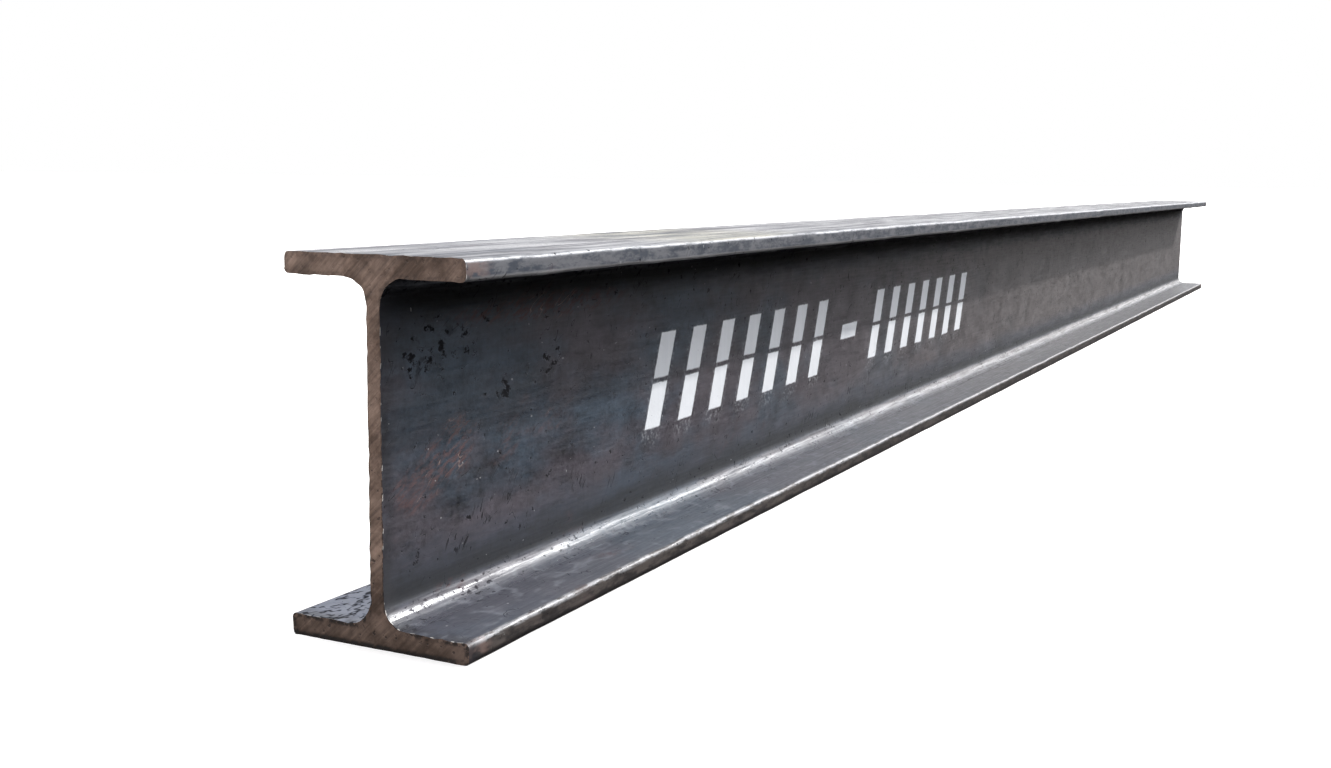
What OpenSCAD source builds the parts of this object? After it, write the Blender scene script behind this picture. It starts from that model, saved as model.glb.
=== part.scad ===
// Hot-rolled steel I-beam with parallel flanges, cut to length and lying with its web upright.
// The cross-section is drawn flat about its centre and run out along X between the two sawn ends.

/* [Section] */
// Overall depth, from the underside of the bottom flange to the top of the top flange
section_depth = 100; // [80:1:240]
// Width of both flanges, toe to toe
flange_width = 55; // [46:1:120]
// Thickness of the web
web_thickness = 4.1; // [3:0.1:8]
// Thickness of both flanges
flange_thickness = 5.7; // [5:0.1:12]

/* [Rolled edges] */
// Radius of the fillet at the root, where the web runs into a flange
root_radius = 7; // [4:0.5:15]
// Radius that the rolls leave on the corners of the flange toes
toe_radius = 1.2; // [0.5:0.1:2.2]

/* [Stock] */
// Length between the two sawn ends
cut_length = 1500; // [200:10:6000]

/* [Hidden] */
// Smoothness of the root fillets and the toes
$fn = 64;
// Keeps a quarter of the section where it is drawn, or turns it over
FLIPS = [0, 1];
// Height of the section's top above its centre
top_level = section_depth / 2;
// Height of the top flange's inner face above the section's centre
inner_level = top_level - flange_thickness;
// Distance from the section's centre line to the toes, and to the web's faces
toe_reach = flange_width / 2;
web_reach = web_thickness / 2;

// What a quarter circle leaves in the corner of the square around it, with the corner at the origin
module corner_piece(radius) {
    difference() {
        square(radius);
        translate([radius, radius])
            circle(r = radius);
    }
}

// Repeats the upper right quarter of the section in all four quarters
module in_each_quarter() {
    for (left = FLIPS, low = FLIPS)
        mirror([left, 0])
            mirror([0, low])
                children();
}

// Half of a flange, from the centre line to the toe
module half_flange() {
    translate([0, inner_level])
        square([toe_reach, flange_thickness]);
}

// Fillet between the web and the flange's inner face
module root_fillet() {
    translate([web_reach, inner_level])
        mirror([0, 1])
            corner_piece(root_radius);
}

// What the rolls round off the toe, at its outer and its inner corner
module toe_rounding() {
    translate([toe_reach, top_level])
        rotate(180)
            corner_piece(toe_radius);
    translate([toe_reach, inner_level])
        mirror([1, 0])
            corner_piece(toe_radius);
}

// The whole cross-section
module beam_section() {
    difference() {
        union() {
            square([web_thickness, section_depth], center = true);
            in_each_quarter() {
                half_flange();
                root_fillet();
            }
        }
        in_each_quarter()
            toe_rounding();
    }
}

// The beam, standing on its bottom flange, with mill scale on its rolled faces
module i_beam() {
    color([0.27, 0.28, 0.30])
        translate([0, 0, top_level])
            rotate([90, 0, 90])
                linear_extrude(height = cut_length, center = true)
                    beam_section();
}

i_beam();
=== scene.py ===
# %% [markdown]
# # A rolled steel I-beam
#
# The beam is one piece of hot-rolled steel: two flanges joined by a web, with a fillet where they meet.
# It left the rolls glowing and cooled in the air, so its long faces wear a thin blue-grey skin of mill
# scale. Only the two ends are bare, where a saw cut the beam to length. This lesson builds that skin
# and those cuts around the measured model.

# %% Load the measured beam
import math
from types import SimpleNamespace

import bmesh
import bpy
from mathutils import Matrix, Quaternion, Vector, noise


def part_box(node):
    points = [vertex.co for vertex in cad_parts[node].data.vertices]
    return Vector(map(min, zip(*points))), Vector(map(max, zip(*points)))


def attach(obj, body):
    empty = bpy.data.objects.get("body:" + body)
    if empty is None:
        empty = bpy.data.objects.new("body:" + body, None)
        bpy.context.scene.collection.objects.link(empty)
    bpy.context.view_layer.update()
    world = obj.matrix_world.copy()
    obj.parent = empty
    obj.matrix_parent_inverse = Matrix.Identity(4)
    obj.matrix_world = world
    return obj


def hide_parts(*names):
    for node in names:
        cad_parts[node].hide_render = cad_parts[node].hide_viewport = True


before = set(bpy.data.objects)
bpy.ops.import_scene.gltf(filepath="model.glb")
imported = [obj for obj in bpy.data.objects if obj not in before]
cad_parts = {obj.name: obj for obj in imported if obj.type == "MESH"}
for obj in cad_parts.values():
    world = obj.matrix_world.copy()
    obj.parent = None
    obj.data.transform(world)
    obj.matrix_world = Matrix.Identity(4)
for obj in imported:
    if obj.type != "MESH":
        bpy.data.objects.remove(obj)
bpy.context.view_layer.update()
low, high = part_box("i_beam")
half_length = high.x
half_width = high.y
depth = high.z
print("beam", [round(side, 4) for side in high - low], "m")

# %% [markdown]
# ## The section
#
# Every rolled beam is its cross-section drawn out along a line. The model that comes with the
# measurements is made of a few long triangles, which is enough for its size but shows corners in the
# fillets. The outline is therefore drawn again from its twelve corners, and a vertex bevel turns the
# corners into true arcs: wide ones at the roots, where the web meets a flange, and small ones at the
# toes. A bevel was chosen over typing points along the arcs because the radius stays one number.

# %% Outline with rounded roots and toes
web_thickness = 0.0041
flange_thickness = 0.0057
root_radius = 0.007
toe_radius = 0.0012
half_web = web_thickness / 2

beam = bmesh.new()
right_side = [
    (half_width, 0),
    (half_width, flange_thickness),
    (half_web, flange_thickness),
    (half_web, depth - flange_thickness),
    (half_width, depth - flange_thickness),
    (half_width, depth),
]
left_side = [(-y, z) for y, z in reversed(right_side)]
corners = [beam.verts.new((-half_length, y, z)) for y, z in right_side + left_side]
beam.faces.new(corners)


def round_corners(corners, radius, segments):
    """Turns these corners of the outline into arcs."""
    bmesh.ops.bevel(
        beam, geom=corners, offset=radius, affect="VERTICES", segments=segments, profile=0.5, material=-1
    )


round_corners([v for v in beam.verts if abs(v.co.y) < half_width / 2], root_radius, 12)
round_corners([v for v in beam.verts if abs(v.co.y) > half_width - toe_radius / 2], toe_radius, 5)
print("outline", len(beam.verts), "points")

# %% [markdown]
# ## From outline to bar
#
# A flat outline with nothing inside gives long thin faces that can't carry a dent or a burr. Cutting it
# into a grid first, and the drawn-out bar into short lengths afterwards, leaves small even faces.
# `bisect_plane` makes the grid, one extrusion makes the bar, and `subdivide_edges` makes the lengths in
# a single step.

# %% Grid, extrusion and lengths
grid_step = 0.002
length_step = 0.006
end_insets = (0.0005, 0.0015, 0.003)


def cut(place, normal):
    """Cuts everything made so far along one plane."""
    everything = beam.verts[:] + beam.edges[:] + beam.faces[:]
    bmesh.ops.bisect_plane(beam, geom=everything, dist=1e-6, plane_co=place, plane_no=normal)


for step in range(1, math.ceil(half_width / grid_step)):
    for side in (-1, 1):
        cut((0, side * (half_width - step * grid_step), 0), (0, 1, 0))
for step in range(1, math.ceil(depth / grid_step)):
    cut((0, 0, step * grid_step), (0, 0, 1))

drawn = bmesh.ops.extrude_face_region(beam, geom=beam.faces[:])
moved = [item for item in drawn["geom"] if isinstance(item, bmesh.types.BMVert)]
bmesh.ops.translate(beam, verts=moved, vec=(2 * half_length, 0, 0))

long_edges = [e for e in beam.edges if abs(e.verts[0].co.x - e.verts[1].co.x) > half_length]
bmesh.ops.subdivide_edges(beam, edges=long_edges, cuts=round(2 * half_length / length_step) - 1)
for inset in end_insets:
    for side in (-1, 1):
        cut((side * (half_length - inset), 0, 0), (1, 0, 0))
bmesh.ops.recalc_face_normals(beam, faces=beam.faces[:])
print("bar", len(beam.faces), "faces")

# %% [markdown]
# ## What the mill and the saw leave behind
#
# No rolled toe is dead straight. The free edges of the flanges wander by a fraction of a millimetre and
# carry small dents from chains and forks, and the saw leaves a ragged burr round its cut. These are
# moves of single points, so a smooth noise on each point's place does it. The underside stays flat,
# because the beam stands on it.

# %% Wavy toes, dents and burrs
toe_reach = 0.005
toe_wander = 0.00025
dent_depth = 0.00025
dent_reach = 0.006
dents_per_toe = 12
burr_height = 0.00035
burr_spread = 0.0003
cut_wander = 0.00012

noise.seed_set(7)
dents = []
for side in (-1, 1):
    for upper in (False, True):
        for _ in range(dents_per_toe):
            dents.append((side, upper, (noise.random() * 2 - 1) * half_length, 0.5 + noise.random()))


def ease(value, start, stop):
    """Rises smoothly from 0 at start to 1 at stop."""
    share = min(max((value - start) / (stop - start), 0), 1)
    return share * share * (3 - 2 * share)


rim = beam.verts.layers.float.new("rim")
beam.normal_update()
for point in beam.verts:
    x, y, z = point.co
    side = 1 if y > 0 else -1
    upper = z > depth / 2
    toe = ease(abs(y), half_width - toe_reach, half_width)
    wave = noise.noise((x * 22, side * 5, upper * 9)) + 0.7 * noise.noise((x * 70, side * 5, upper * 9))
    point.co.y += side * toe * wave * toe_wander
    lift = toe * noise.noise((x * 25, side * 3, 20 + upper * 9)) * toe_wander
    for dent_side, dent_upper, dent_x, size in dents:
        if dent_side == side and dent_upper == upper and abs(x - dent_x) < 4 * dent_reach:
            fall = math.exp(-(((x - dent_x) / (dent_reach * size)) ** 2))
            lift -= dent_depth * size * fall * toe
    if z > flange_thickness / 2:
        point.co.z += lift
    if half_length - abs(x) < 0.0001:
        on_edge = any(abs(face.normal.x) < 0.5 for face in point.link_faces)
        rag = noise.noise((y * 700, z * 700, x * 40))
        grow = cut_wander * noise.noise((y * 60, z * 60, x * 10)) + on_edge * burr_height * max(rag, -0.3)
        point.co.x += grow if x > 0 else -grow
        point[rim] = on_edge
        if on_edge and z > flange_thickness / 2:
            outward = Vector((0, point.normal.y, point.normal.z)).normalized()
            point.co += outward * burr_spread * noise.noise((y * 450, z * 450, 5 + x * 40))
print("moved", len(beam.verts), "points")

# %% [markdown]
# ## A flat map of the faces
#
# When the finish is baked into a picture, every face needs its own place on a flat map. A beam is
# awkward for an automatic layout, because a strip 1.5 m long makes everything on the map small. So each
# long face is cut at the middle of the beam, and the halves lie one above the other, with the two sawn
# ends beside them.


# %% Unroll the beam into half-length strips
def strip_of(face):
    """Names the strip of the map that a face lies on."""
    x, y, z = face.calc_center_median()
    upper = z > depth / 2
    if abs(face.normal.x) > 0.7:
        return ("end", x > 0)
    if abs(face.normal.y) > abs(face.normal.z):
        return ("web", x > 0, y > 0) if abs(y) < half_width / 2 else ("toe", x > 0, y > 0, upper)
    if (face.normal.z > 0) == upper:
        return ("outer", x > 0, upper)
    return ("inner", x > 0, y > 0, upper)


def lowest_and_highest(faces, axis):
    places = [corner.co[axis] for face in faces for corner in face.verts]
    return min(places), max(places)


strip_gap = 0.002
bake_map = beam.loops.layers.uv.new("OFBake")
strips = {}
for face in beam.faces:
    strips.setdefault(strip_of(face), []).append(face)

next_row = {True: strip_gap, False: strip_gap}
for (kind, *_), faces in strips.items():
    is_end = kind == "end"
    along = 1 if is_end else 0
    across = 1 if kind in ("outer", "inner") else 2
    start = strip_gap + is_end * (half_length + strip_gap)
    first, _ = lowest_and_highest(faces, along)
    lowest, highest = lowest_and_highest(faces, across)
    for face in faces:
        for loop in face.loops:
            place = loop.vert.co
            loop[bake_map].uv = (start + place[along] - first, next_row[is_end] + place[across] - lowest)
    next_row[is_end] += highest - lowest + strip_gap
map_size = next_row[False]
for face in beam.faces:
    for loop in face.loops:
        loop[bake_map].uv /= map_size
print("map of", len(strips), "strips", round(map_size, 3), "m wide")

# %% [markdown]
# ## Shader maths in plain Python
#
# Every finish below is built from nodes. Written out one by one they hide the idea, so one small class
# wraps a socket and lets Python's own operators add the Math nodes. Every other kind of node comes from
# its `node` method.


# %% A socket that can do sums
class Wire:
    """One socket of a material, which plain arithmetic works on."""

    def __init__(self, tree, socket):
        self.tree = tree
        self.socket = socket

    def node(self, kind, settings, sockets, output=0):
        """Adds a node: its settings first, then the values or wires of its sockets."""
        made = self.tree.nodes.new("ShaderNode" + kind)
        for name, value in settings.items():
            setattr(made, name, value)
        for name, value in sockets.items():
            if isinstance(value, Wire):
                self.tree.links.new(value.socket, made.inputs[name])
            else:
                made.inputs[name].default_value = value
        return Wire(self.tree, made.outputs[output])

    def math(self, operation, *values):
        return self.node("Math", {"operation": operation}, dict(enumerate(values)))

    def __add__(self, other):
        return self.math("ADD", self, other)

    def __sub__(self, other):
        return self.math("SUBTRACT", self, other)

    def __rsub__(self, other):
        return self.math("SUBTRACT", other, self)

    def __mul__(self, other):
        return self.math("MULTIPLY", self, other)

    def __truediv__(self, other):
        return self.math("DIVIDE", self, other)

    __radd__ = __add__
    __rmul__ = __mul__

    def size(self):
        return self.math("ABSOLUTE", self)

    def floor(self):
        return self.math("FLOOR", self)

    def square_root(self):
        return self.math("SQRT", self)

    def ease(self, start, stop):
        """Rises smoothly from 0 at start to 1 at stop, or falls from 1 to 0 where stop is the smaller."""
        settings = {"interpolation_type": "SMOOTHSTEP"}
        if start < stop:
            return self.node("MapRange", settings, {"Value": self, "From Min": start, "From Max": stop})
        return 1 - self.node("MapRange", settings, {"Value": self, "From Min": stop, "From Max": start})

    def mix(self, first, second):
        """A colour between two others, with this wire as the share of the second."""
        return self.node("Mix", {"data_type": "RGBA"}, {0: self, 6: first, 7: second}, output=2)

    def tone(self, base):
        """A colour made lighter or darker by this wire."""
        settings = {"data_type": "RGBA", "blend_type": "MULTIPLY"}
        return self.node("Mix", settings, {0: 1.0, 6: base, 7: self}, output=2)


print("sums work on sockets")

# %% [markdown]
# ## A few patterns
#
# Rolled steel is covered in blotches, chips and scratches of many sizes. All of them come from one
# noise texture: stretched for streaks, turned for slanting strokes, and cut at a level for chips. Where
# a smooth noise crosses its middle value it draws thin curved lines, which serve as scratches and
# swirls.


# %% Helpers for patterns
def colour(red, green, blue):
    return (red, green, blue, 1)


def new_finish(name):
    """A material with its Principled shader, and a wire with the places on the object in millimetres."""
    material = bpy.data.materials.new(name)
    material.use_nodes = True
    tree = material.node_tree
    shader = tree.nodes["Principled BSDF"]
    metres = Wire(tree, tree.nodes.new("ShaderNodeTexCoord").outputs["Object"])
    return material, shader, metres.node("VectorMath", {"operation": "SCALE"}, {0: metres, "Scale": 1000.0})


def connect(shader, **wires):
    """Joins wires to the shader's sockets; a socket's name has underscores for its spaces."""
    for name, wire in wires.items():
        wire.tree.links.new(wire.socket, shader.inputs[name.replace("_", " ")])


def split(place):
    """The three coordinates of a place."""
    return [place.node("SeparateXYZ", {}, {0: place}, output=axis) for axis in range(3)]


def lean(place, degrees):
    """The place turned about Y, so that a pattern drawn out along X rises by this angle."""
    return place.node("Mapping", {}, {"Vector": place, "Rotation": (0, math.radians(degrees), 0)})


def speckle(place, blotch, detail=2.0, roughness=0.55, distortion=0.0):
    """Noise from 0 to 1 whose blotches have this size along each axis."""
    scale = [1 / side for side in blotch]
    scaled = place.node("Mapping", {}, {"Vector": place, "Scale": scale})
    sockets = {"Detail": detail, "Roughness": roughness, "Distortion": distortion}
    return place.node("TexNoise", {}, {"Vector": scaled, "Scale": 1.0, **sockets})


def curls(place, blotch, width):
    """Thin curved lines, where a smooth noise crosses its middle value."""
    return (speckle(place, blotch, detail=1.0) - 0.5).size().ease(width, 0)


def any_of(*masks):
    """1 where at least one of these masks is 1."""
    clear = 1 - masks[0]
    for mask in masks[1:]:
        clear = clear * (1 - mask)
    return 1 - clear


print("pattern helpers ready")

# %% [markdown]
# ## Finding a place on the beam
#
# One skin covers all the rolled faces, yet a toe, a root and a top wear differently. The faces could
# each have a material of their own, but the borders between them would show. Soft masks on the
# coordinates blend from face to face instead. Some marks belong to one spot on the web, and those have
# their places in a short list.

# %% Masks for the faces, and spots on the web
depth_mm = depth * 1000
half_length_mm = half_length * 1000
half_width_mm = half_width * 1000
far_range = (-680, 60)


def map_faces(place):
    """Coordinates in millimetres, and masks from 0 to 1 for the faces that a place may lie on."""
    x, y, z = split(place)
    out = y.size()
    web = out.ease(6.0, 2.5) * z.ease(2, 4) * z.ease(depth_mm - 2, depth_mm - 4)
    toe = out.ease(half_width_mm - 1.7, half_width_mm - 0.5)
    top = z.ease(depth_mm - 0.8, depth_mm - 0.3)
    return SimpleNamespace(
        x=x,
        z=z,
        to_end=half_length_mm - x.size(),
        far=x.ease(*far_range),
        front=y.ease(0.5, -0.5),
        web=web,
        root=out.ease(2.1, 2.6) * out.ease(11, 8.5) * z.ease(4, 5) * z.ease(depth_mm - 4, depth_mm - 5),
        toe=toe,
        top=top,
        flat=(1 - web) * (1 - toe) * (1 - top) * z.ease(1, 4),
        low=z.ease(depth_mm / 2 + 1, depth_mm / 2 - 1),
    )


def near_spots(face, spots):
    """1 in the middle of any of these spots on the front of the web, 0 outside them."""
    found = []
    for x, z, reach_x, reach_z in spots:
        off_x = (face.x - x) / reach_x
        off_z = (face.z - z) / reach_z
        found.append((off_x * off_x + off_z * off_z).ease(1, 0.2))
    return any_of(*found) * face.front * face.web


print("beam", depth_mm, "mm deep")

# %% [markdown]
# ## The tint of the scale
#
# Mill scale is a brittle oxide. It is nearly black, but thin films in it turn some patches blue-grey
# and others brown or plum. Blotchy noises of three sizes choose the colour and its depth, and a fine
# weave of streaks along and across the rolling direction breaks it up. Painted shade darkens the strips
# beside the roots and the hollow under the upper flange. The far part is browner, and lighter as a
# painted sheen.

# %% Blue-grey and plum patches
blue_scale = colour(0.043, 0.060, 0.081)
plum_scale = colour(0.066, 0.057, 0.067)
# Browner and lighter towards the far end; the lighter part is a painted sheen.
far_tone_and_sheen = colour(0.146, 0.130, 0.125)
# Dark blue of the painted shade beside the roots and under the upper flange.
painted_shade_blue = colour(0.058, 0.078, 0.125)


def painted_root_shade(place, face):
    """Painted shade beside the roots and under the upper flange, from 0 to 1, with a ragged border."""
    z = face.z + (speckle(place, (20, 5, 3.5), detail=4, roughness=0.65) - 0.5) * 9
    above_root = face.z.ease(9, 11.5) * (z + face.far * 2).ease(27, 13) * (0.88 + face.far * 0.05)
    below_flange = z.ease(76, 90) * 0.85
    return (above_root + below_flange) * face.web


def scale_tint(place, face, cloud, grain, shade):
    """The colour of clean scale, darkened by painted shade beside the roots and under the upper flange."""
    patches = speckle(place, (75, 45, 38), detail=5, roughness=0.65)
    plum = (patches + face.x.ease(-660, -420) * 0.1 + face.to_end.ease(160, 0) * 0.05).ease(0.40, 0.64)
    # Towards the far end the scale turns browner, and lighter as a painted sheen.
    tint = (face.far * 0.9).mix(plum.mix(blue_scale, plum_scale), far_tone_and_sheen)
    # Painted shade beside the roots and under the upper flange turns the tint dark blue and darker.
    tint = (shade * 0.8).mix(tint, painted_shade_blue)
    mottle = speckle(place, (8, 5, 5), detail=5, roughness=0.75)
    along = speckle(place, (11, 1.6, 0.9), detail=2, distortion=0.4)
    upright = speckle(place, (1.2, 6, 12), detail=2, distortion=0.4)
    weave = (along - 0.5) * 0.5 + (upright - 0.5) * face.web * 0.4
    stains = speckle(place, (42, 20, 26), detail=5, roughness=0.7).ease(0.52, 0.70) * face.web * 0.4
    light = 1 + (cloud - 0.5) * 0.8 + (mottle - 0.5) * 1.7 + weave + (grain - 0.5) * 0.6 - stains
    return (light * (1 - shade)).tone(tint)


print("tint of the scale ready")

# %% [markdown]
# ## Chips, dots and scratches
#
# The skin flakes off where the bar was bent or knocked, and other bars scratch it as they slide past.
# Chips are ragged blotches that gather in zones. Scratches are thin lines that a second noise breaks
# into short pieces, low on the web there are a few short upright ticks, and the root and the flats
# behind are pitted. A spot is its place along the beam, its height, and how far it reaches in both
# directions, all in millimetres.

# %% Dark flaws
flaw_colour = colour(0.012, 0.011, 0.013)
chip_spots = [(-738, 71, 7, 6), (-728, 75, 12, 8), (-714, 74, 9, 6), (-695, 60, 5, 5), (-668, 66, 7, 6)]
tick_spots = [(-717, 22, 8, 5), (-704, 27, 8, 5), (-686, 20, 7, 4), (-652, 27, 6, 6)]


def scale_flaws(place, face):
    """Where the skin is chipped, dotted, scratched, ticked or pitted, from 0 to 1."""
    stroke = lean(place, 48)
    zone = speckle(place, (40, 20, 18), detail=2).ease(0.55, 0.70) * 0.35
    crowd = any_of(zone, near_spots(face, chip_spots))
    ragged = speckle(place, (3.6, 2.8, 2.8), detail=4, roughness=0.65)
    chips = (ragged + crowd * 0.13).ease(0.65, 0.72)
    smudge = speckle(place, (9, 7, 7), detail=3, distortion=0.5).ease(0.55, 0.68) * crowd * 0.6
    chips = any_of(chips, smudge) * face.web
    dots = speckle(place, (1.9, 1.9, 1.9), detail=1).ease(0.75, 0.79)
    scratches = curls(stroke, (10, 5, 4), 0.012) * speckle(place, (7, 6, 6), detail=1).ease(0.58, 0.62)
    upright = speckle(lean(place, 64), (5, 1.8, 1.3), detail=2, distortion=0.8).ease(0.58, 0.62)
    hatching = speckle(place, (24, 9, 14), detail=1).ease(0.60, 0.68)
    hatching = hatching * face.z.ease(14, 19) * face.z.ease(42, 32)
    ticks = upright * any_of(hatching, near_spots(face, tick_spots)) * face.web
    pitted = speckle(place, (16, 6, 6), detail=2).ease(0.42, 0.60)
    pits = speckle(place, (2.2, 1.3, 1.3), detail=2).ease(0.57, 0.65) * face.root * pitted
    dashes = curls(place, (6, 3, 3), 0.08) * speckle(place, (4, 3, 3), detail=1).ease(0.47, 0.53)
    dashes = dashes * face.flat * (1 - face.front)
    return any_of(chips * 0.9, dots * 0.7, scratches * 0.7, ticks * 0.7, pits * 0.6, dashes * 0.9)


print("chips in", len(chip_spots), "spots, ticks in", len(tick_spots))

# %% [markdown]
# ## Rust
#
# Where the scale has cracked, a thin reddish rust starts. It is faint, streaky and strongest near the
# cut end, with a few hair-thin bright scratches in it.

# %% Rust and bright hairs
rust_colour = colour(0.094, 0.043, 0.041)
hair_colour = colour(0.32, 0.22, 0.18)
rust_spots = [(-722, 45, 15, 8), (-736, 39, 12, 7), (-716, 52, 10, 5), (-670, 82, 60, 5)]


def rust_masks(place, face):
    """Where rust tints the skin, and where a bright hair crosses the rust."""
    zone = speckle(place, (32, 14, 14), detail=3).ease(0.58, 0.72)
    zone = zone * (0.25 + face.to_end.ease(170, 20) * 0.4)
    spots = near_spots(face, rust_spots)
    streaks = speckle(lean(place, 24), (7, 2, 2.0), detail=4, roughness=0.75).ease(0.44, 0.62)
    broken = speckle(place, (6, 5, 5), detail=1).ease(0.55, 0.60)
    hairs = curls(lean(place, 28), (22, 6, 4), 0.007) * broken * spots
    return any_of(zone, spots) * streaks, hairs


print("rust in", len(rust_spots), "spots")

# %% [markdown]
# ## Flanges, toes and top
#
# The flat of a flange is polished by sliding loads, which leave it bluer and draw pale swirls on it.
# The front flats are painted lighter towards the far end, a painted sheen, and the flats behind the
# web are paler than those in front, a painted reflection of the hazy sky. A toe is knocked more than
# any other place, so bare metal shows there in blotches: bluish above, brown below, and nearly white
# along the upper edges. On the lower toe's upper edge that white is also a painted highlight, strongest
# near the cut, and a painted contact shadow darkens each lower toe at its foot. The upper face has
# dried rain on it, in long pale streaks, and one yellow stain.

# %% Swirls, worn toes and dried rain
near_polish = colour(0.034, 0.041, 0.056)
# The far flat colour is lighter as a painted sheen.
far_polish_and_sheen = colour(0.078, 0.080, 0.086)
# The back flat colour is pale as a painted reflection of the sky.
back_polish_and_reflection = colour(0.310, 0.330, 0.410)
swirl_colour = colour(0.22, 0.23, 0.255)
upper_toe = (colour(0.041, 0.049, 0.066), colour(0.147, 0.148, 0.159))
lower_toe = (colour(0.024, 0.020, 0.019), colour(0.088, 0.072, 0.064))
fresh_rust = colour(0.26, 0.17, 0.145)
scraped_toe = colour(0.36, 0.35, 0.35)
# Painted contact shadow at the foot of the lower toes.
painted_contact_shadow = colour(0.008, 0.007, 0.007)
# Bare metal on the upper edges, and a painted highlight on the lower toe's upper edge.
bare_edge_and_highlight = colour(0.46, 0.46, 0.47)
dried_rain = colour(0.255, 0.248, 0.248)
yellow_stain = colour(0.30, 0.275, 0.20)
bare_top = colour(0.065, 0.065, 0.070)
stain_place = -580
stain_reach = 75


def dress_flanges(skin, place, face):
    # Towards the far end the front flats turn lighter, a painted sheen.
    skin = (face.flat * face.front * 0.6).mix(skin, face.far.mix(near_polish, far_polish_and_sheen))
    # Behind the web the flats turn pale, a painted reflection of the sky.
    skin = (face.flat * (1 - face.front) * 0.8).mix(skin, back_polish_and_reflection)
    swirl = curls(place, (13, 9, 9), 0.07) * speckle(place, (9, 6, 6), detail=2).ease(0.44, 0.58)
    return (swirl * face.flat * 0.32).mix(skin, swirl_colour)


def dress_toes(skin, place, face):
    wear = speckle(place, (8, 2.6, 2.6), detail=4, roughness=0.75).ease(0.40, 0.60)
    worn = face.low.mix(wear.mix(*upper_toe), wear.mix(*lower_toe))
    fresh = face.to_end.ease(14, 3) * speckle(place, (5, 3, 3), detail=3).ease(0.42, 0.56)
    worn = (fresh * 0.7).mix(worn, fresh_rust)
    under = face.z.ease(depth_mm - 4.2, depth_mm - 5.2) * (1 - face.low)
    worn = (under * 0.9).mix(worn, scraped_toe)
    # Painted contact shadow along the foot of each lower toe.
    worn = (face.z.ease(2.2, 1.0) * 0.9).mix(worn, painted_contact_shadow)
    skin = face.toe.mix(skin, worn)
    upper_edge = face.z.ease(depth_mm - 1.4, depth_mm - 0.7)
    # Painted highlight along the lower toe's upper edge, strongest near the cut end.
    lower_edge_highlight = face.low * face.z.ease(4.0, 4.9) * (0.65 - face.far * 0.5)
    chipped = (speckle(place, (8, 2, 2), detail=4, roughness=0.75) + face.far * 0.08).ease(0.42, 0.56)
    return (face.toe * (upper_edge + lower_edge_highlight) * chipped * 0.9).mix(skin, bare_edge_and_highlight)


def dress_top(skin, face, streak):
    stain = ((face.x - stain_place) / stain_reach).size().ease(1, 0.2)
    bare = (face.top * 0.6).mix(skin, bare_top)
    return (face.top * streak).mix(bare, stain.mix(dried_rain, yellow_stain))


print("flanges, toes and top ready")

# %% [markdown]
# ## The cut edge
#
# The saw heats a narrow strip of the skin, which goes dark, and it pushes up a burr of bare metal,
# with painted glints on it in short bright dashes. The points round the cut carry the attribute `rim`,
# so the burr's colour and its painted glints stay on the burr.

# %% Burnt strip and burr with painted glints
burnt_scale = colour(0.020, 0.019, 0.023)
burr_metal_and_glint = colour(0.55, 0.52, 0.48)


def dress_cut(skin, place, face):
    burn = face.to_end.ease(7, 1.5) * speckle(place, (5, 5, 9), detail=3).ease(0.2, 0.6)
    skin = (burn * 0.75).mix(skin, burnt_scale)
    edge = place.node("Attribute", {"attribute_name": "rim"}, {}, output=2).ease(0.3, 0.8)
    # Painted glints in short dashes along the burr.
    bright = edge * speckle(place, (6, 2, 3.2), detail=1).ease(0.54, 0.58)
    return (bright * 0.9).mix(skin, burr_metal_and_glint)


print("cut edge ready")

# %% [markdown]
# ## The painted mark
#
# A stockyard marks its bars with white paint through a stencil plate. Here it is two rows of slanted
# bars with a dash between them, and a gap at half their height where a bridge kept the plate together.
# A separate sheet of paint would be thinner than a hair, so the mark is a mask in the finish: sums on
# length and height say where paint lies.

# %% Stencil mask
mark_centre = (-403.0, 51.0)
mark_height = 32.0
bars_in_row = 7
bar_pitch = 25.5
bar_stroke = 11.0
bar_slant = 0.38
bridge_gap = 1.7
dash_size = (20.0, 6.5)
row_start = 27.0
paint_edge = 0.35


def within(value, half, edge=paint_edge):
    """1 where a value lies less than half from 0, with a soft edge."""
    return value.size().ease(half + edge, half - edge)


def stencil_mask(place, face):
    """1 where paint lies on the front of the web, with uneven edges, and a fainter mask of stray spray."""
    wobble = (speckle(place, (3, 3, 3)) - 0.5) * 0.7
    above = face.z - mark_centre[1] + wobble
    sheared = face.x - mark_centre[0] - above * bar_slant + wobble
    outward = sheared.size() - row_start
    bar = (outward / bar_pitch).floor()
    across = outward - (bar + 0.5) * bar_pitch
    in_row = within(bar - (bars_in_row - 1) / 2, bars_in_row / 2)
    rows = in_row * within(above, mark_height / 2) * (1 - within(above, bridge_gap / 2))
    dash = within(sheared, dash_size[0] / 2) * within(above, dash_size[1] / 2)
    bars = within(across, bar_stroke / 2) * rows
    spray = within(across, bar_stroke / 2 + 1.5, 2.5) * within(above + 2, mark_height / 2 + 2.5, 3) * in_row
    front = face.front * face.web
    return (bars + dash) * front, spray * front


print("mark", bars_in_row * 2, "bars and a dash")

# %% [markdown]
# ## The skin put together
#
# The layers go on one over another: scale, worn flanges, flaws, rust, the cut edge and last the paint.
# Roughness, bump and metal come from the same masks, so a chip is dull and sunk as well as dark, and
# has less sheen than the skin around it.

# %% Mill scale on the rolled faces
pale_speck = colour(0.40, 0.40, 0.40)
white_paint = colour(0.87, 0.88, 0.895)
base_roughness = 0.46
scale_relief = 0.0001


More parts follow.
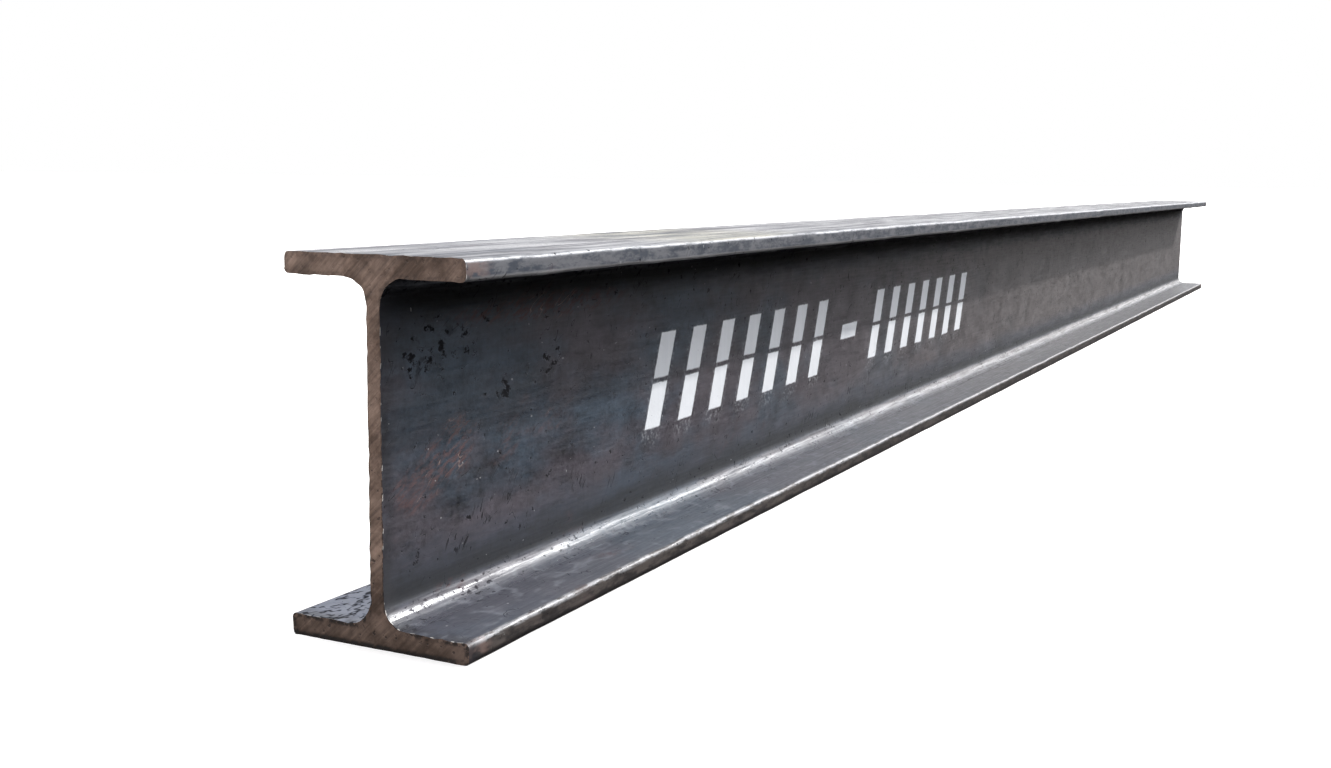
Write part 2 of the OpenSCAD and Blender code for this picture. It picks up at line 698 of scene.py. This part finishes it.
def mill_scale():
    material, shader, place = new_finish("mill_scale")
    face = map_faces(place)
    cloud = speckle(place, (26, 14, 14), detail=4, roughness=0.65)
    grain = speckle(place, (1.6, 1.2, 1.2), detail=2)
    roll = speckle(place, (28, 1.1, 1.1), detail=3, roughness=0.6)
    streak = speckle(place, (60, 2.6, 2.6), detail=4, roughness=0.7).ease(0.36, 0.64)

    # Painted shade beside the roots and under the upper flange, which also roughens the skin.
    shade = painted_root_shade(place, face)
    skin = scale_tint(place, face, cloud, grain, shade)
    skin = dress_flanges(skin, place, face)
    skin = dress_toes(skin, place, face)
    skin = dress_top(skin, face, streak)
    flaws = scale_flaws(place, face)
    skin = flaws.mix(skin, flaw_colour)
    rust, hairs = rust_masks(place, face)
    skin = (rust * 0.85).mix(skin, rust_colour)
    skin = (hairs * 0.8).mix(skin, hair_colour)
    skin = dress_cut(skin, place, face)
    specks = speckle(place, (1.5, 1.5, 1.5), detail=0).ease(0.87, 0.89)
    skin = (specks * 0.7).mix(skin, pale_speck)

    mask, spray = stencil_mask(place, face)
    paint = mask * speckle(place, (3, 3, 3), detail=4, roughness=0.7).ease(0.24, 0.32)
    brush = speckle(place, (2.5, 3, 30), detail=2)
    white = (0.86 + cloud * 0.16 + brush * 0.14).tone(white_paint)
    skin = (spray * grain.ease(0.45, 0.75) * 0.22).mix(skin, white)
    skin = paint.mix(skin, white)

    rough = base_roughness + (cloud - 0.5) * 0.2 + (grain - 0.5) * 0.2
    rough = rough + flaws * 0.4 + rust * 0.2 + paint * 0.15 + shade * 0.3
    rough = rough + (roll - 0.5) * (0.4 + face.root * 0.9) + face.root * face.far * 0.12
    rough = rough + face.top * (0.5 - streak) * 0.3
    height = grain * 0.16 + cloud * 0.35 + roll * (0.03 + face.root * 0.5) - flaws * 0.3 + paint * 0.1
    bump = place.node("Bump", {}, {"Strength": 1.0, "Distance": scale_relief, "Height": height})
    connect(shader, Base_Color=skin, Roughness=rough, Metallic=flaws * (1 - paint), Normal=bump)
    shader.inputs["Specular IOR Level"].default_value = 0.6
    return material


print("mill scale ready")

# %% [markdown]
# ## Sawn steel
#
# The saw leaves bare metal that soon turns brown. Its teeth draw fine slanting marks, which are a noise
# stretched along a turned axis. The cut is darker towards the bottom and slightly at the top, with a
# painted contact shadow along its foot. The edge of the cut is ragged and dark where the burr throws
# small shadows, and the lower half is the more torn and pitted one.

# %% Sawn steel on the ends
dark_steel = colour(0.144, 0.090, 0.063)
light_steel = colour(0.378, 0.258, 0.197)
fresh_steel = colour(0.27, 0.185, 0.145)
rim_shadow = colour(0.022, 0.018, 0.017)
pit_shadow = colour(0.035, 0.025, 0.022)
saw_turn = math.radians(-45)
saw_relief = 0.0003


def sawn_steel():
    material, shader, place = new_finish("sawn_steel")
    _, y, z = split(place)
    turned = place.node("Mapping", {}, {"Vector": place, "Rotation": (saw_turn, 0, 0)})
    marks = speckle(turned, (40, 1.0, 12), detail=3, roughness=0.65)
    bands = speckle(turned, (40, 4, 30), detail=2)
    patches = speckle(place, (20, 9, 9), detail=4, roughness=0.65).ease(0.32, 0.68)
    shade = (marks * 1.7 + bands * 0.8 - 0.25) * (0.60 + z.ease(0, 40) * 0.48 - z.ease(70, 92) * 0.1)
    # Painted contact shadow along the foot of the cut end.
    shade = shade * (1 - z.ease(1.8, 0.4) * 0.85)
    steel = shade.tone(patches.mix(dark_steel, light_steel))
    fresh = y.ease(-18, -26) * z.ease(12, 4)
    steel = (fresh * 0.45).mix(steel, fresh_steel)
    torn = 1 - z.ease(20, 80) * 0.65
    rim = place.node("Attribute", {"attribute_name": "rim"}, {}, output=2)
    ragged = rim.ease(0.15, 0.7) * speckle(place, (3, 2.2, 2.2), detail=3, roughness=0.65).ease(0.44, 0.54)
    steel = (ragged * torn * 0.85).mix(steel, rim_shadow)
    pits = speckle(place, (2, 1.6, 1.6), detail=2).ease(0.62, 0.69) * torn
    steel = (pits * 0.75).mix(steel, pit_shadow)
    rough = 0.48 + marks * 0.15
    height = marks + bands * 0.5 - pits
    bump = place.node("Bump", {}, {"Strength": 0.4, "Distance": saw_relief, "Height": height})
    connect(shader, Base_Color=steel, Roughness=rough, Normal=bump)
    shader.inputs["Metallic"].default_value = 0.25
    return material


print("sawn steel ready")

# %% [markdown]
# ## The finished beam
#
# The bar becomes a mesh with both finishes: faces that look along the length are sawn, all others are
# rolled. Smooth shading with a sharp angle keeps the fillets round and the cut crisp. The piece stands
# where the measured beam is.

# %% One mesh with two finishes
sharp_angle = math.radians(35)
mesh = bpy.data.meshes.new("rolled_beam")
mesh.materials.append(mill_scale())
mesh.materials.append(sawn_steel())
for face in beam.faces:
    face.smooth = True
    face.material_index = 1 if abs(face.normal.x) > 0.7 else 0
beam.to_mesh(mesh)
beam.free()
mesh.set_sharp_from_angle(angle=sharp_angle)
rolled_beam = bpy.data.objects.new("rolled_beam", mesh)
bpy.context.scene.collection.objects.link(rolled_beam)
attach(rolled_beam, "root")
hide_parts("i_beam")
print("rolled_beam", len(mesh.polygons), "faces")

# %% [markdown]
# ## The floor
#
# A pale sheet under the beam catches its soft shadow. It glows, more behind the beam than in front, so
# that it stays almost white up to the steel. The beam doesn't see it, because the light on the beam is
# set by the sky and lamps.

# %% Pale floor
floor_size = 40.0
floor_colour = colour(0.86, 0.83, 0.79)
front_glow = colour(0.4, 0.4, 0.4)
back_glow = colour(0.7, 0.7, 0.7)
sheet = bmesh.new()
bmesh.ops.create_grid(sheet, x_segments=1, y_segments=1, size=floor_size)
floor_mesh = bpy.data.meshes.new("floor")
sheet.to_mesh(floor_mesh)
sheet.free()
floor = bpy.data.objects.new("floor", floor_mesh)
bpy.context.scene.collection.objects.link(floor)
pale, shader, place = new_finish("pale_floor")
_, away, _ = split(place)
connect(shader, Emission_Color=away.ease(-10, 60).mix(front_glow, back_glow))
shader.inputs["Base Color"].default_value = floor_colour
shader.inputs["Roughness"].default_value = 0.9
shader.inputs["Emission Strength"].default_value = 1.0
floor_mesh.materials.append(pale)
floor.visible_diffuse = False
floor.visible_glossy = False
print("floor", floor_size, "m")

# %% [markdown]
# ## Sky and key light
#
# The beam lies in open shade with one clear light beyond its far end. The key lamp draws the flange's
# shadow along the web, and a wider lamp a little lower, which only reflections see, draws the bright
# line in the root. The sky does the rest: bright above the front, dim near the ground so that the
# hollow under the flange goes dark, hazy at the back, where the upper face mirrors it, and dimmer high
# up towards the far end. On the front side height is measured round the beam's long axis, so that the
# fillet mirrors the same band of sky at both ends. The camera itself sees plain white.

# %% Sky and lamps
front_gain = 2.3
haze_gain = 0.62
ground_air = colour(0.035, 0.032, 0.030)
haze_air = colour(0.95, 0.92, 0.92)
clear_air = colour(0.86, 0.89, 0.95)
plain_white = colour(1, 1, 1)
key_toward = Vector((0.80, -0.30, 0.54))
glint_toward = Vector((0.77, -0.39, 0.51))

world = bpy.data.worlds.new("studio")
bpy.context.scene.world = world
world.use_nodes = True
tree = world.node_tree
direction = Wire(tree, tree.nodes.new("ShaderNodeTexCoord").outputs["Generated"])
along, side, height = split(direction)
behind = side.ease(-0.25, 0.05)
rise = height / (side * side + height * height).square_root()
open_front = (rise + along.ease(0.85, 0.97) * 0.05).ease(0.15, 0.46)
open_back = height.ease(-0.02, 0.03)
open_sky = open_front + (open_back - open_front) * behind
front = front_gain * (0.58 + along.ease(0.1, 0.75) * 0.95 - along.ease(0.85, 1.0) * 0.55)
back = 1 + height.ease(0.65, 0.2) * haze_gain * (0.95 + along.ease(0.9, 1.0) * 0.6)
overhead = along.ease(0.85, 0.97) * rise.ease(0.65, 0.95)
gain = (front + (back - front) * behind) * (1 - overhead * 0.5)
air = height.ease(0.05, 0.30).mix(haze_air, clear_air)
sky = open_sky.mix(ground_air, gain.tone(air))
seen = direction.node("LightPath", {}, {})
background = tree.nodes["Background"]
tree.links.new(seen.mix(sky, plain_white).socket, background.inputs["Color"])


def far_lamp(name, toward, energy, spread):
    """A lamp far away in this direction, with a disc of this many degrees."""
    light = bpy.data.lights.new(name, "SUN")
    light.energy = energy
    light.angle = math.radians(spread)
    lamp = bpy.data.objects.new(name, light)
    lamp.rotation_mode = "QUATERNION"
    lamp.rotation_quaternion = toward.to_track_quat("Z", "Y")
    bpy.context.scene.collection.objects.link(lamp)
    return lamp


key = far_lamp("key", key_toward, energy=4.6, spread=1.5)
key.visible_glossy = False
glint = far_lamp("glint", glint_toward, energy=2.7, spread=14)
glint.visible_diffuse = False
print("lamps", key.name, glint.name)

# %% [markdown]
# ## Camera
#
# The camera stands close to the near end, a little above the upper flange, and looks along the beam. A
# lens of about 39 mm at that distance gives the strong taper towards the far end.

# %% Camera near the cut end
camera_place = Vector((-1.0374, -0.2230, 0.11955))
camera_target = Vector((-0.5919, -0.00205, 0.0490))
camera_roll = math.radians(0.73)
camera = bpy.data.cameras.new("camera")
camera.sensor_width = 36
camera.lens = 39.41
camera.clip_start = 0.01
viewer = bpy.data.objects.new("camera", camera)
viewer.location = camera_place
viewer.rotation_mode = "QUATERNION"
looking = (camera_target - camera_place).to_track_quat("-Z", "Y")
viewer.rotation_quaternion = looking @ Quaternion((0, 0, 1), camera_roll)
bpy.context.scene.collection.objects.link(viewer)
bpy.context.scene.camera = viewer
bpy.context.scene.view_settings.view_transform = "Standard"
print("camera", [round(c, 3) for c in camera_place])
